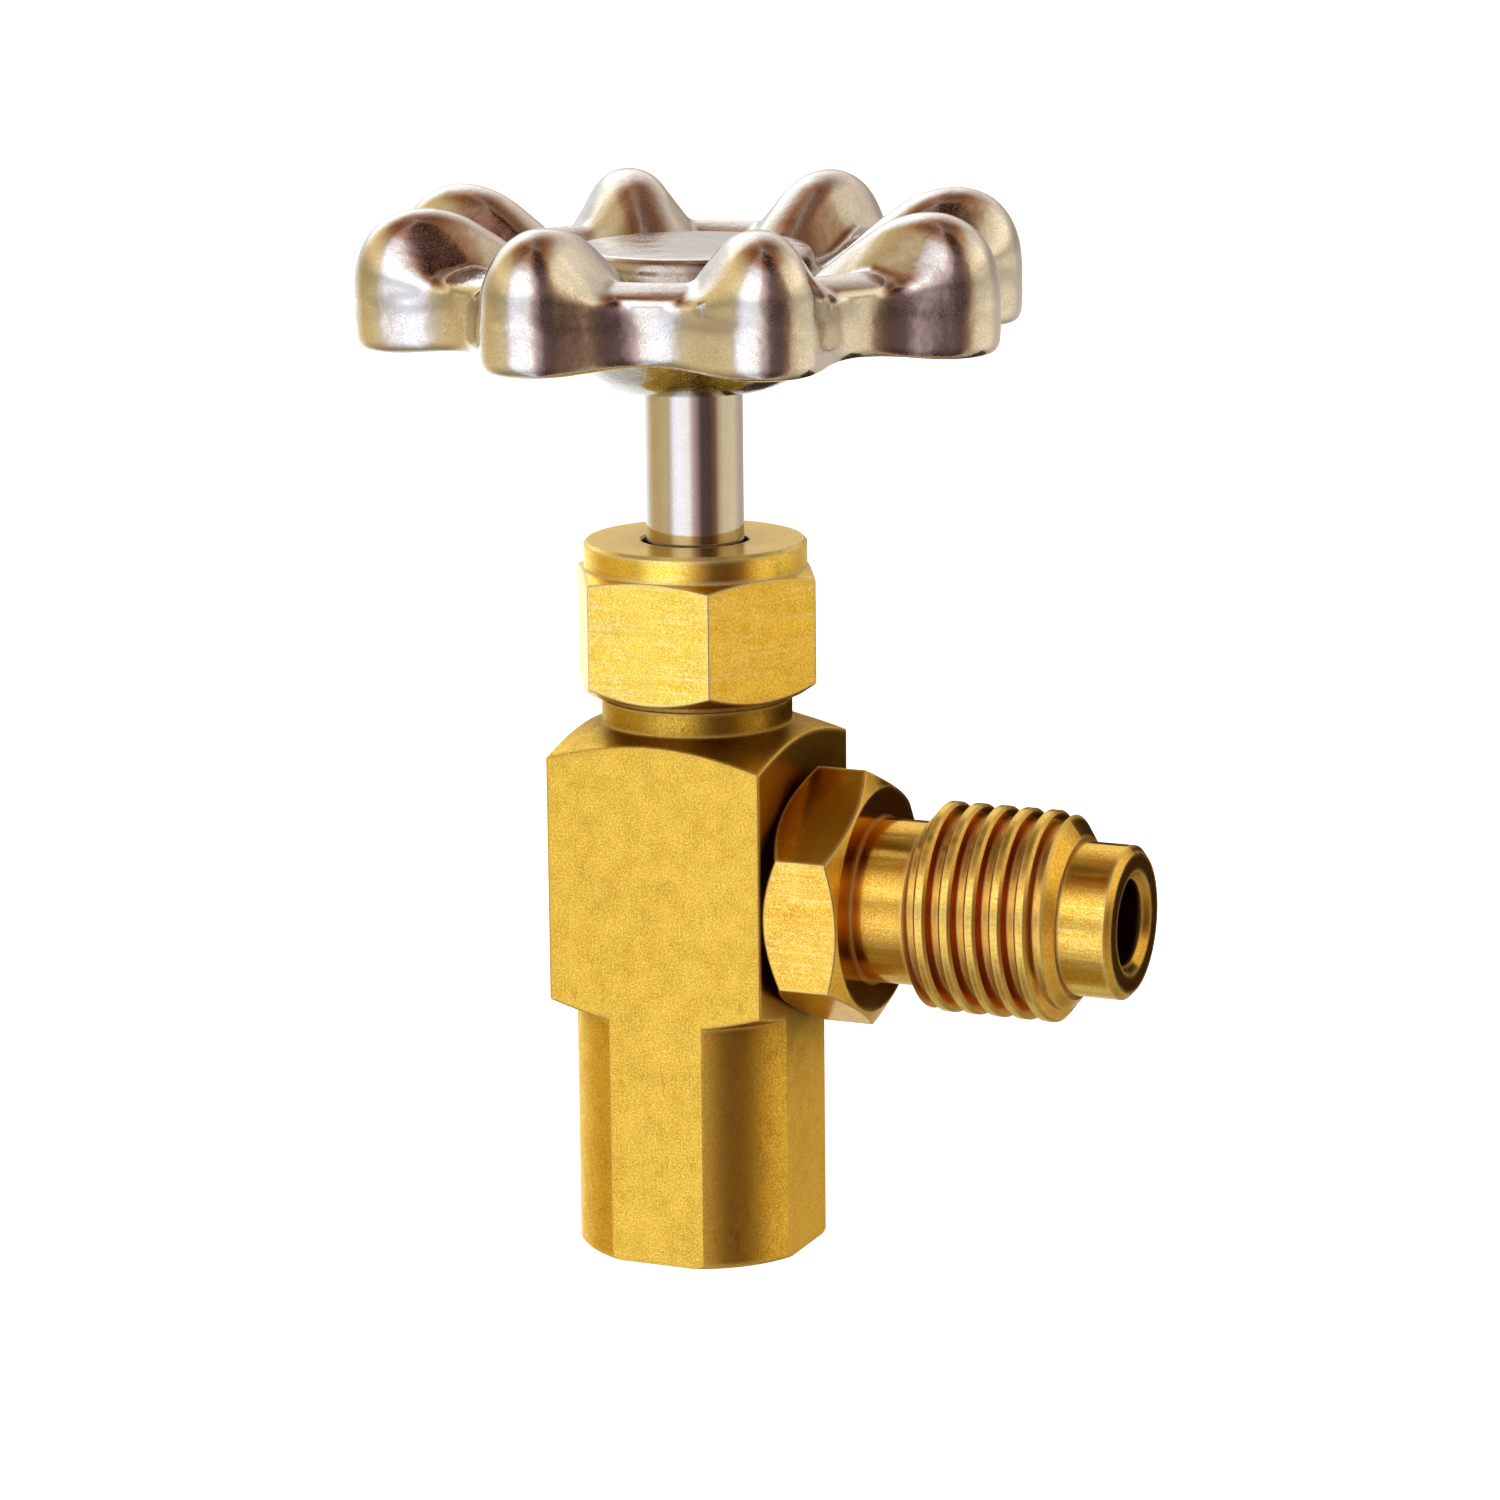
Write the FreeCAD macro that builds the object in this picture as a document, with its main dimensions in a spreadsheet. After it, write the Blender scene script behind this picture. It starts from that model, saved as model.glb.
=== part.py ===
"""Angle-pattern needle valve: a square brass body with a threaded inlet socket underneath, an Acme
hose connector at the side, and a threaded stem under a packing nut, turned by a lobed handwheel.

Frame: +Z up along the stem, origin on the stem axis at the body's bottom face, outlet along +X.
The valve is drawn open, with the needle lifted off its seat. Lengths are millimetres, angles degrees.
"""
import FreeCAD, Part
import math
import os
import re
import Sketcher

SIZES = {
    # valve body, turned and bored from square bar
    "body_width": 14.0,
    "broken_edge_radius": 0.16,
    "hex_edge_radius": 0.1,
    "skirt_radius": 7.62,
    "skirt_edge_bevel": 0.2,
    "shoulder_low": 15.19,
    "shoulder_slope": 23.3,
    "top_cone_at_flat": 32.38,
    "top_cone_slope": 21.5,
    "neck_radius": 5.81,
    "neck_relief_height": 34.35,
    "neck_relief_width": 0.2,
    "neck_relief_depth": 0.15,
    "neck_relief_flank": 0.05,
    "neck_thread_radius": 5.75,
    "neck_top": 40.5,
    "neck_top_bevel": 0.25,
    # threaded inlet socket, 7/16-28
    "inlet_crest_radius": 5.19,
    "inlet_root_radius": 5.556,
    "inlet_pitch": 0.9071,
    "inlet_flank_slope": 30.0,
    "inlet_mouth_bevel": 0.6,
    "inlet_thread_top": 9.4,
    "inlet_recess_radius": 5.75,
    "inlet_recess_top": 11.6,
    # seat, flow chamber and stem bore
    "seat_radius": 1.7,
    "seat_edge": 13.8,
    "seat_outer_radius": 2.5,
    "seat_rise_per_radius": 1.6667,
    "chamber_radius": 3.75,
    "chamber_top": 26.5,
    "thread_bore_radius": 3.55,
    "thread_bore_top": 32.5,
    "neck_bore_radius": 3.7,
    "packing_bore_radius": 4.7,
    "packing_floor": 37.0,
    # side port
    "outlet_height": 22.5,
    "port_radius": 2.63,
    "port_thread_radius": 3.92,
    "port_thread_start": 4.1,
    "port_recess_radius": 5.2,
    "port_recess_depth": 1.0,
    # outlet connector, along its own X axis
    "spigot_radius": 3.88,
    "spigot_start": 4.15,
    "connector_across": 14.0,
    "connector_turn": 33.1,
    "hex_start": 7.0,
    "hex_start_radius": 6.73,
    "hex_start_slope": 40.4,
    "hex_end": 11.95,
    "hex_end_radius": 6.85,
    "hex_end_slope": 29.0,
    "connector_neck_radius": 5.0,
    "acme_start": 15.3,
    "acme_start_slope": 60.0,
    "acme_radius": 6.35,
    "acme_end_bevel_start": 23.85,
    "acme_end": 24.96,
    "acme_end_radius": 4.9,
    "acme_pitch": 1.5875,
    "acme_depth": 0.8,
    "acme_root_flat": 0.5,
    "acme_flank_slope": 14.5,
    "acme_crest_bevel": 0.18,
    "acme_groove_place": 14.135,
    "acme_groove_run": 11.6,
    "nose_radius": 4.64,
    "nose_bevel_start": 27.89,
    "nose_end": 28.24,
    "nose_face_radius": 4.24,
    "nose_bore_mouth": 3.1,
    # outlet O-ring
    "o_ring_radius": 4.54,
    "o_ring_thickness": 0.96,
    # packing nut
    "nut_across": 13.8,
    "nut_turn": -1.2,
    "nut_bottom": 34.8,
    "nut_collar_radius": 6.8,
    "nut_bottom_radius": 6.75,
    "nut_bottom_slope": 34.0,
    "nut_collar_start": 42.36,
    "nut_top_slope": 20.0,
    "nut_collar_bevel": 0.2,
    "nut_top": 44.0,
    "nut_bore_radius": 5.8,
    "nut_bore_bevel": 0.3,
    "nut_bore_top": 41.0,
    "nut_chamber_radius": 5.45,
    "nut_chamber_top": 42.3,
    "nut_hole_radius": 3.27,
    "nut_hole_bevel": 0.12,
    # gland and chevron packing
    "gland_head_radius": 5.3,
    "gland_head_bottom": 41.0,
    "gland_head_top": 42.28,
    "packing_inner_radius": 3.03,
    "packing_outer_radius": 4.66,
    "packing_ring_height": 0.8,
    "packing_ridge": 0.25,
    "packing_washer_height": 0.6,
    # inlet gasket
    "gasket_inner_radius": 2.0,
    "gasket_outer_radius": 5.65,
    "gasket_bottom": 9.7,
    # needle
    "needle_point": 11.6,
    "needle_point_radius": 0.15,
    "needle_taper_top": 14.4,
    "needle_shank_radius": 1.3,
    "needle_cone_bottom": 18.6,
    "needle_collar_radius": 2.2,
    "needle_collar_height": 0.5,
    "needle_neck_radius": 0.9,
    "needle_head_radius": 1.5,
    "needle_head_bottom": 22.0,
    "needle_head_top": 23.3,
    # stem
    "stem_bottom": 20.7,
    "stem_foot_radius": 2.5,
    "stem_socket_radius": 1.75,
    "stem_socket_top": 24.45,
    "stem_thread_bottom": 27.0,
    "stem_thread_top": 36.0,
    "stem_thread_radius": 3.5,
    "stem_thread_bevel": 0.5,
    "stem_radius": 2.98,
    "stem_top": 59.8,
    "stem_edge_bevel": 0.3,
    # parts inside the stem's socket
    "retainer_inner_radius": 1.02,
    "retainer_outer_radius": 1.73,
    "retainer_bottom": 20.75,
    "retainer_top": 21.85,
    "ball_radius": 0.55,
    "ball_height": 23.87,
    # handwheel
    "wheel_turn": -7.6,
    "wheel_lobes": 8,
    "wheel_socket_radius": 3.0,
    "wheel_socket_top": 60.0,
    "hub_bottom": 53.2,
    "hub_foot_radius": 4.4,
    "hub_radius": 6.9,
    "hub_flare_height": 55.3,
    "web_bottom": 58.4,
    "web_inner_radius": 9.2,
    "web_outer_radius": 14.4,
    "web_top": 60.8,
    "rim_bottom": 56.9,
    "rim_top": 61.5,
    "rim_radius": 16.8,
    "rim_edge": 0.7,
    "boss_radius": 7.3,
    "boss_top": 61.9,
    "lobe_bottom": 56.5,
    "lobe_root_place": 7.6,
    "lobe_root_width": 2.6,
    "lobe_root_top": 61.2,
    "lobe_mid_place": 13.0,
    "lobe_mid_width": 4.6,
    "lobe_mid_top": 63.5,
    "lobe_peak_place": 17.4,
    "lobe_peak_width": 6.2,
    "lobe_peak_top": 64.6,
    "lobe_face_place": 19.8,
    "lobe_face_width": 5.3,
    "lobe_face_top": 63.2,
    "lobe_end_place": 20.5,
    "lobe_end_width": 3.6,
    "lobe_end_top": 62.6,
}

AROUND_Z = "V_Axis"
AROUND_X = "H_Axis"
# Cutting outlines run this far past the stock, and out to a radius beyond all of it
PAST = 2.0
FARTHEST = 13.0
# Thread cutters start this far off the surface they cut
CLEAR = 0.02


def make_sheet(doc):
    """The spreadsheet that every size is read from."""
    sheet = doc.addObject("Spreadsheet::Sheet", "Sizes")
    for row, (alias, number) in enumerate(SIZES.items(), start=1):
        sheet.set(f"A{row}", alias)
        sheet.set(f"B{row}", str(number))
        sheet.setAlias(f"B{row}", alias)
    doc.recompute()
    return sheet


def bound(formula):
    """A formula of size names, written so that the document reads the names from the sheet."""
    return re.sub(r"[a-z_]{4,}", lambda name: f"Sizes.{name[0]}" if name[0] in SIZES else name[0], str(formula))


def value(formula):
    """What a formula of size names comes to at present."""
    return float(SHEET.evalExpression(bound(formula)))


def new_body(label):
    body = DOC.addObject("PartDesign::Body", label)
    body.Label = label
    return body


def new_sketch(body, name, role, offset=None):
    """An empty sketch on one of the body's origin planes, moved along its normal by offset."""
    sketch = body.newObject("Sketcher::SketchObject", name)
    plane = next(feature for feature in body.Origin.OriginFeatures if feature.Role == role)
    sketch.AttachmentSupport = (plane, [""])
    sketch.MapMode = "FlatFace"
    if offset is not None:
        sketch.setExpression("AttachmentOffset.Base.z", bound(offset))
    return sketch


def pin_point(sketch, edge, end, across, up):
    """Fixes one end of a sketch edge at (across, up), both formulas of size names."""
    for kind, formula in (("DistanceX", across), ("DistanceY", up)):
        index = sketch.addConstraint(Sketcher.Constraint(kind, -1, 1, edge, end, value(formula)))
        sketch.setExpression(f"Constraints[{index}]", bound(formula))


def outline(sketch, points):
    """A closed outline of straight edges through points, each a pair of formulas."""
    corners = [FreeCAD.Vector(value(across), value(up), 0) for across, up in points]
    for index, corner in enumerate(corners):
        sketch.addGeometry(Part.LineSegment(corner, corners[(index + 1) % len(corners)]), False)
    for index in range(len(corners)):
        following = (index + 1) % len(corners)
        sketch.addConstraint(Sketcher.Constraint("Coincident", index, 2, following, 1))
    for index, (across, up) in enumerate(points):
        pin_point(sketch, index, 1, across, up)


def disc(sketch, across, up, radius):
    """A circle of the given radius about (across, up)."""
    centre = FreeCAD.Vector(value(across), value(up), 0)
    circle = sketch.addGeometry(Part.Circle(centre, FreeCAD.Vector(0, 0, 1), value(radius)), False)
    pin_point(sketch, circle, 3, across, up)
    index = sketch.addConstraint(Sketcher.Constraint("Radius", circle, value(radius)))
    sketch.setExpression(f"Constraints[{index}]", bound(radius))


def add_feature(body, kind, name, sketch):
    """A feature of the body made from a sketch, which has to change the body's volume."""
    feature = body.newObject(f"PartDesign::{kind}", name)
    feature.Profile = sketch
    return feature


def settle(body, feature):
    """Recomputes the body and makes sure that the feature added or removed some material."""
    before = feature.BaseFeature.Shape.Volume if feature.BaseFeature else 0.0
    DOC.recompute()
    if abs(feature.Shape.Volume - before) < 1e-4:
        raise RuntimeError(f"{body.Label}: {feature.Name} changes nothing")


def turned(body, name, points, axis=AROUND_Z, cut=False):
    """A revolved outline in the XZ plane; with cut, the material it sweeps is removed."""
    sketch = new_sketch(body, f"{name}_sketch", "XZ_Plane")
    outline(sketch, points)
    feature = add_feature(body, "Groove" if cut else "Revolution", name, sketch)
    feature.ReferenceAxis = (sketch, [axis])
    feature.Angle = 360
    settle(body, feature)


def bar(body, name, points, role, start, length):
    """A prism of the outline, from start along the plane's normal."""
    sketch = new_sketch(body, f"{name}_sketch", role, start)
    outline(sketch, points)
    feature = add_feature(body, "Pad", name, sketch)
    feature.setExpression("Length", bound(length))
    settle(body, feature)


def drilled(body, name, height, radius, mouth, depth):
    """A round hole along X, from mouth towards the stem axis."""
    sketch = new_sketch(body, f"{name}_sketch", "YZ_Plane", mouth)
    disc(sketch, "0", height, radius)
    feature = add_feature(body, "Pocket", name, sketch)
    feature.Type = "Length"
    feature.setExpression("Length", bound(depth))
    settle(body, feature)


def thread_groove(body, name, points, axis, pitch, run):
    """A right-hand helical groove of the outline, cut along the axis for the length run."""
    sketch = new_sketch(body, f"{name}_sketch", "XZ_Plane")
    outline(sketch, points)
    feature = add_feature(body, "SubtractiveHelix", name, sketch)
    feature.ReferenceAxis = (sketch, [axis])
    feature.Mode = "pitch-height-angle"
    feature.setExpression("Pitch", bound(pitch))
    feature.setExpression("Height", bound(run))
    feature.LeftHanded = False
    settle(body, feature)


def hexagon(across, turn):
    """Corners of a hexagon of the given width across flats, its first corner at the angle turn."""
    corner = f"({across} / 2 / cos(30))"
    angles = [f"({turn} + {60 * index})" for index in range(6)]
    return [(f"{corner} * cos{angle}", f"{corner} * sin{angle}") for angle in angles]


def rounded(body, name, radius, wanted):
    """Rounds the edges of the body's tip that wanted picks by its faces' kinds and its bounding box."""
    base = body.Tip
    chosen = []
    for number, edge in enumerate(base.Shape.Edges, start=1):
        faces = base.Shape.ancestorsOfType(edge, Part.Face)
        kinds = {type(face.Surface).__name__ for face in faces}
        if wanted(kinds, edge.BoundBox):
            chosen.append(f"Edge{number}")
    feature = body.newObject("PartDesign::Fillet", name)
    feature.Base = (base, chosen)
    feature.setExpression("Radius", bound(radius))
    settle(body, feature)


def square(width):
    """Corners of a square about the origin."""
    half = f"({width} / 2)"
    return [(half, f"-{half}"), (half, half), (f"-{half}", half), (f"-{half}", f"-{half}")]


def is_body_edge(kinds, box):
    """The bar's long edges, the edges of its flats, and not the neck, its thread or the lower face."""
    flat_edge = "Plane" in kinds and box.ZMin > value("skirt_edge_bevel") - 0.01
    return flat_edge and box.ZMax < value("neck_relief_height") and box.ZLength > 0.02


def is_hexagon_edge(kinds, box):
    """The edges between a hexagon's flats, and between its flats and the cones that bevel them."""
    return kinds in ({"Plane"}, {"Plane", "Cone"}) and box.DiagonalLength < 10


def build_valve_body():
    """Square bar with a turned skirt and neck, bored right through, with a port in its +X face."""
    body = new_body("valve_body")
    bar(body, "bar_stock", square("body_width"), "XY_Plane", "0", "neck_top")
    turned(body, "skirt_turning", [
        ("skirt_radius - skirt_edge_bevel", "0"),
        ("skirt_radius", "skirt_edge_bevel"),
        ("skirt_radius", "shoulder_low"),
        (FARTHEST, f"shoulder_low + ({FARTHEST} - skirt_radius) * tan(shoulder_slope)"),
        (FARTHEST, -PAST),
        ("skirt_radius - skirt_edge_bevel", -PAST),
    ], cut=True)
    turned(body, "neck_turning", [
        ("neck_thread_radius - neck_top_bevel", "neck_top"),
        ("neck_thread_radius", "neck_top - neck_top_bevel"),
        ("neck_thread_radius", "neck_relief_height + neck_relief_width + neck_relief_flank"),
        ("neck_radius - neck_relief_depth", "neck_relief_height + neck_relief_width"),
        ("neck_radius - neck_relief_depth", "neck_relief_height"),
        ("neck_radius", "neck_relief_height - neck_relief_flank"),
        ("neck_radius", "top_cone_at_flat + (body_width / 2 - neck_radius) * tan(top_cone_slope)"),
        (FARTHEST, f"top_cone_at_flat - ({FARTHEST} - body_width / 2) * tan(top_cone_slope)"),
        (FARTHEST, f"neck_top + {PAST}"),
        ("neck_thread_radius - neck_top_bevel", f"neck_top + {PAST}"),
    ], cut=True)
    rounded(body, "broken_edges", "broken_edge_radius", is_body_edge)
    turned(body, "stem_bore", [
        ("0", "0"),
        ("inlet_crest_radius + inlet_mouth_bevel", "0"),
        ("inlet_crest_radius", "inlet_mouth_bevel"),
        ("inlet_crest_radius", "inlet_thread_top"),
        ("inlet_recess_radius", "inlet_thread_top"),
        ("inlet_recess_radius", "inlet_recess_top"),
        ("seat_radius", "inlet_recess_top"),
        ("seat_radius", "seat_edge"),
        ("seat_outer_radius", "seat_edge + (seat_outer_radius - seat_radius) * seat_rise_per_radius"),
        ("chamber_radius", "seat_edge + (seat_outer_radius - seat_radius) * seat_rise_per_radius"),
        ("chamber_radius", "chamber_top"),
        ("thread_bore_radius", "chamber_top"),
        ("thread_bore_radius", "thread_bore_top"),
        ("neck_bore_radius", "thread_bore_top"),
        ("neck_bore_radius", "packing_floor"),
        ("packing_bore_radius", "packing_floor"),
        ("packing_bore_radius", "neck_top"),
        ("0", "neck_top"),
    ], cut=True)
    drilled(body, "port", "outlet_height", "port_radius", "body_width / 2", "body_width / 2")
    drilled(body, "port_tapping", "outlet_height", "port_thread_radius", "body_width / 2",
            "body_width / 2 - port_thread_start")
    drilled(body, "port_recess", "outlet_height", "port_recess_radius", "body_width / 2", "port_recess_depth")
    flank = "(inlet_root_radius - inlet_crest_radius) * tan(inlet_flank_slope)"
    inside = f"inlet_crest_radius - {10 * CLEAR}"
    thread_groove(body, "inlet_thread", [
        (inside, f"-inlet_pitch / 2 - {flank}"),
        (inside, f"-inlet_pitch / 2 + {flank}"),
        ("inlet_crest_radius", f"-inlet_pitch / 2 + {flank}"),
        ("inlet_root_radius", "-inlet_pitch / 2"),
        ("inlet_crest_radius", f"-inlet_pitch / 2 - {flank}"),
    ], AROUND_Z, "inlet_pitch", "inlet_thread_top + inlet_pitch * 1.5")
    return body


def build_outlet_connector():
    """Hexagon connector: spigot into the body, plain neck, Acme hose thread and pilot nose."""
    body = new_body("outlet_connector")
    bar(body, "hexagon", hexagon("connector_across", "connector_turn"), "YZ_Plane", "hex_start",
        "hex_end - hex_start")
    turned(body, "hex_bevels", [
        ("hex_start", "hex_start_radius"),
        (f"hex_start + ({FARTHEST} - hex_start_radius) * tan(hex_start_slope)", FARTHEST),
        ("hex_start", FARTHEST),
    ], AROUND_X, cut=True)
    turned(body, "hex_end_bevels", [
        ("hex_end", "hex_end_radius"),
        (f"hex_end - ({FARTHEST} - hex_end_radius) * tan(hex_end_slope)", FARTHEST),
        ("hex_end", FARTHEST),
    ], AROUND_X, cut=True)
    rounded(body, "broken_edges", "hex_edge_radius", is_hexagon_edge)
    turned(body, "turned_length", [
        ("spigot_start", "0"),
        ("spigot_start", "spigot_radius"),
        ("(hex_start + hex_end) / 2", "spigot_radius"),
        ("(hex_start + hex_end) / 2", "connector_neck_radius"),
        ("acme_start", "connector_neck_radius"),
        ("acme_start + (acme_radius - connector_neck_radius) / tan(acme_start_slope)", "acme_radius"),
        ("acme_end_bevel_start", "acme_radius"),
        ("acme_end", "acme_end_radius"),
        ("acme_end", "nose_radius"),
        ("nose_bevel_start", "nose_radius"),
        ("nose_end", "nose_face_radius"),
        ("nose_end", "0"),
    ], AROUND_X)
    opening = "(acme_root_flat / 2 + (acme_depth - acme_crest_bevel) * tan(acme_flank_slope))"
    below = "(acme_radius - acme_crest_bevel)"
    thread_groove(body, "acme_thread", [
        ("acme_groove_place - acme_root_flat / 2", "acme_radius - acme_depth"),
        ("acme_groove_place + acme_root_flat / 2", "acme_radius - acme_depth"),
        (f"acme_groove_place + {opening}", below),
        (f"acme_groove_place + {opening} + acme_crest_bevel", f"acme_radius + {CLEAR}"),
        (f"acme_groove_place - {opening} - acme_crest_bevel", f"acme_radius + {CLEAR}"),
        (f"acme_groove_place - {opening}", below),
    ], AROUND_X, "acme_pitch", "acme_groove_run")
    turned(body, "flow_bore", [
        ("spigot_start", "0"),
        ("spigot_start", "port_radius"),
        ("nose_end - (nose_bore_mouth - port_radius)", "port_radius"),
        ("nose_end", "nose_bore_mouth"),
        ("nose_end", "0"),
    ], AROUND_X, cut=True)
    body.setExpression("Placement.Base.z", bound("outlet_height"))
    return body


def build_outlet_o_ring():
    """Rubber ring round the connector's spigot, in the recess of the body's port."""
    ring = DOC.addObject("Part::Torus", "outlet_o_ring")
    ring.Label = "outlet_o_ring"
    ring.setExpression("Radius1", bound("o_ring_radius"))
    ring.setExpression("Radius2", bound("o_ring_thickness / 2"))
    ring.Placement = FreeCAD.Placement(FreeCAD.Vector(0, 0, 0), FreeCAD.Rotation(FreeCAD.Vector(0, 1, 0), 90))
    ring.setExpression("Placement.Base.x", bound("body_width / 2 - port_recess_depth / 2"))
    ring.setExpression("Placement.Base.z", bound("outlet_height"))
    return ring


def build_packing_nut():
    """Hexagon nut with a turned collar, screwed over the body's neck to press the gland down."""
    body = new_body("packing_nut")
    bar(body, "hexagon", hexagon("nut_across", "nut_turn"), "XY_Plane", "nut_bottom", "nut_top - nut_bottom")
    turned(body, "collar_turning", [
        ("nut_collar_radius - nut_collar_bevel", "nut_top"),
        ("nut_collar_radius", "nut_top - nut_collar_bevel"),
        ("nut_collar_radius", "nut_collar_start"),
        (FARTHEST, f"nut_collar_start - ({FARTHEST} - nut_collar_radius) * tan(nut_top_slope)"),
        (FARTHEST, f"nut_top + {PAST}"),
        ("nut_collar_radius - nut_collar_bevel", f"nut_top + {PAST}"),
    ], cut=True)
    turned(body, "bottom_bevel", [
        ("nut_bottom_radius", "nut_bottom"),
        (FARTHEST, f"nut_bottom + ({FARTHEST} - nut_bottom_radius) * tan(nut_bottom_slope)"),
        (FARTHEST, "nut_bottom"),
    ], cut=True)
    rounded(body, "broken_edges", "hex_edge_radius", is_hexagon_edge)
    turned(body, "nut_bore", [
        ("0", "nut_bottom"),
        ("nut_bore_radius + nut_bore_bevel", "nut_bottom"),
        ("nut_bore_radius", "nut_bottom + nut_bore_bevel"),
        ("nut_bore_radius", "nut_bore_top"),
        ("nut_chamber_radius", "nut_bore_top"),
        ("nut_chamber_radius", "nut_chamber_top"),
        ("nut_hole_radius", "nut_chamber_top"),
        ("nut_hole_radius", "nut_top - nut_hole_bevel"),
        ("nut_hole_radius + nut_hole_bevel", "nut_top"),
        ("0", "nut_top"),
    ], cut=True)
    return body


def build_gland_follower():
    """Flanged brass sleeve between the nut and the packing, with a grooved lower end."""
    body = new_body("gland_follower")
    stack_top = "packing_floor + packing_washer_height + 3 * packing_ring_height"
    turned(body, "gland", [
        ("packing_inner_radius", stack_top),
        ("(packing_inner_radius + packing_outer_radius) / 2", f"{stack_top} + packing_ridge"),
        ("packing_outer_radius", stack_top),
        ("packing_outer_radius", "gland_head_bottom"),
        ("gland_head_radius", "gland_head_bottom"),
        ("gland_head_radius", "gland_head_top"),
        ("packing_inner_radius", "gland_head_top"),
    ])
    return body


def chevron(label, inner, outer, floor, height, ridge_below):
    """A ring whose top, and where ridge_below is set its bottom too, rises to a ridge at mid-width."""
    body = new_body(label)
    middle = f"({inner} + {outer}) / 2"
    under = [(middle, f"{floor} + packing_ridge")] if ridge_below else []
    turned(body, "ring", [
        (inner, floor), *under, (outer, floor), (outer, f"{floor} + {height}"),
        (middle, f"{floor} + {height} + packing_ridge"), (inner, f"{floor} + {height}"),
    ])
    return body


def build_packing():
    """Brass washer on the packing floor and three nested chevron rings on top of it."""
    parts = [chevron("packing_washer", "packing_inner_radius", "packing_outer_radius", "packing_floor",
                     "packing_washer_height", ridge_below=False)]
    for index, place in enumerate(("lower", "middle", "upper")):
        floor = f"(packing_floor + packing_washer_height + {index} * packing_ring_height)"
        parts.append(chevron(f"packing_ring_{place}", "packing_inner_radius", "packing_outer_radius", floor,
                             "packing_ring_height", ridge_below=True))
    return parts


def build_inlet_gasket():
    """Flat rubber ring at the top of the inlet socket, which the can's rim is pressed against."""
    body = new_body("inlet_gasket")
    turned(body, "gasket", [
        ("gasket_inner_radius", "gasket_bottom"),
        ("gasket_outer_radius", "gasket_bottom"),
        ("gasket_outer_radius", "inlet_recess_top"),
        ("gasket_inner_radius", "inlet_recess_top"),
    ])
    return body


def build_needle():
    """Piercing needle: taper point, shank, sealing cone and a head that swivels in the stem."""
    body = new_body("needle")
    cone_top = "needle_cone_bottom + (needle_collar_radius - needle_shank_radius) * seat_rise_per_radius"
    turned(body, "needle_turning", [
        ("0", "needle_point"),
        ("needle_point_radius", "needle_point"),
        ("needle_shank_radius", "needle_taper_top"),
        ("needle_shank_radius", "needle_cone_bottom"),
        ("needle_collar_radius", cone_top),
        ("needle_collar_radius", f"{cone_top} + needle_collar_height"),
        ("needle_neck_radius", f"{cone_top} + needle_collar_height"),
        ("needle_neck_radius", "needle_head_bottom"),
        ("needle_head_radius", "needle_head_bottom"),
        ("needle_head_radius", "needle_head_top"),
        ("0", "needle_head_top"),
    ])
    return body


def build_stem():
    """Stem: hollow foot that holds the needle's head, threaded length and smooth shank."""
    body = new_body("stem")
    turned(body, "stem_turning", [
        ("stem_socket_radius", "stem_bottom"),
        ("stem_foot_radius", "stem_bottom"),
        ("stem_foot_radius", "stem_thread_bottom"),
        ("stem_thread_radius - stem_thread_bevel", "stem_thread_bottom"),
        ("stem_thread_radius", "stem_thread_bottom + stem_thread_bevel"),
        ("stem_thread_radius", "stem_thread_top - stem_thread_bevel"),
        ("stem_thread_radius - stem_thread_bevel", "stem_thread_top"),
        ("stem_radius", "stem_thread_top"),
        ("stem_radius", "stem_top - stem_edge_bevel"),
        ("stem_radius - stem_edge_bevel", "stem_top"),
        ("0", "stem_top"),
        ("0", "stem_socket_top"),
        ("stem_socket_radius", "stem_socket_top"),
    ])
    return body


def build_needle_retainer():
    """Bush pressed into the stem's foot below the needle's head."""
    body = new_body("needle_retainer")
    turned(body, "bush", [
        ("retainer_inner_radius", "retainer_bottom"),
        ("retainer_outer_radius", "retainer_bottom"),
        ("retainer_outer_radius", "retainer_top"),
        ("retainer_inner_radius", "retainer_top"),
    ])
    return body


def build_thrust_ball():
    """Steel ball between the needle's head and the end of the stem's socket."""
    ball = DOC.addObject("Part::Sphere", "thrust_ball")
    ball.Label = "thrust_ball"
    ball.setExpression("Radius", bound("ball_radius"))
    ball.setExpression("Placement.Base.z", bound("ball_height"))
    return ball


def arch(sketch, width, bottom, top):
    """A closed section with a flat bottom, upright sides and a half-round top, centred across."""
    half = f"({width}) / 2"
    spring = f"({top}) - ({width}) / 2"
    left, right = value(f"-({half})"), value(half)
    low, high = value(bottom), value(spring)
    sketch.addGeometry(Part.LineSegment(FreeCAD.Vector(left, low, 0), FreeCAD.Vector(right, low, 0)), False)
    sketch.addGeometry(Part.LineSegment(FreeCAD.Vector(right, low, 0), FreeCAD.Vector(right, high, 0)), False)
    centre = FreeCAD.Vector(0, high, 0)
    rounding = Part.Circle(centre, FreeCAD.Vector(0, 0, 1), right)
    sketch.addGeometry(Part.ArcOfCircle(rounding, 0, math.pi), False)
    sketch.addGeometry(Part.LineSegment(FreeCAD.Vector(left, high, 0), FreeCAD.Vector(left, low, 0)), False)
    for first, first_end, second, second_end in ((0, 2, 1, 1), (1, 2, 2, 1), (2, 2, 3, 1), (3, 2, 0, 1)):
        sketch.addConstraint(Sketcher.Constraint("Coincident", first, first_end, second, second_end))
    pin_point(sketch, 0, 1, f"-({half})", bottom)
    pin_point(sketch, 0, 2, half, bottom)
    pin_point(sketch, 1, 2, half, spring)
    pin_point(sketch, 2, 3, "0", spring)
    index = sketch.addConstraint(Sketcher.Constraint("DistanceY", -1, 1, 2, 2, high))
    sketch.setExpression(f"Constraints[{index}]", bound(spring))


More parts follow.
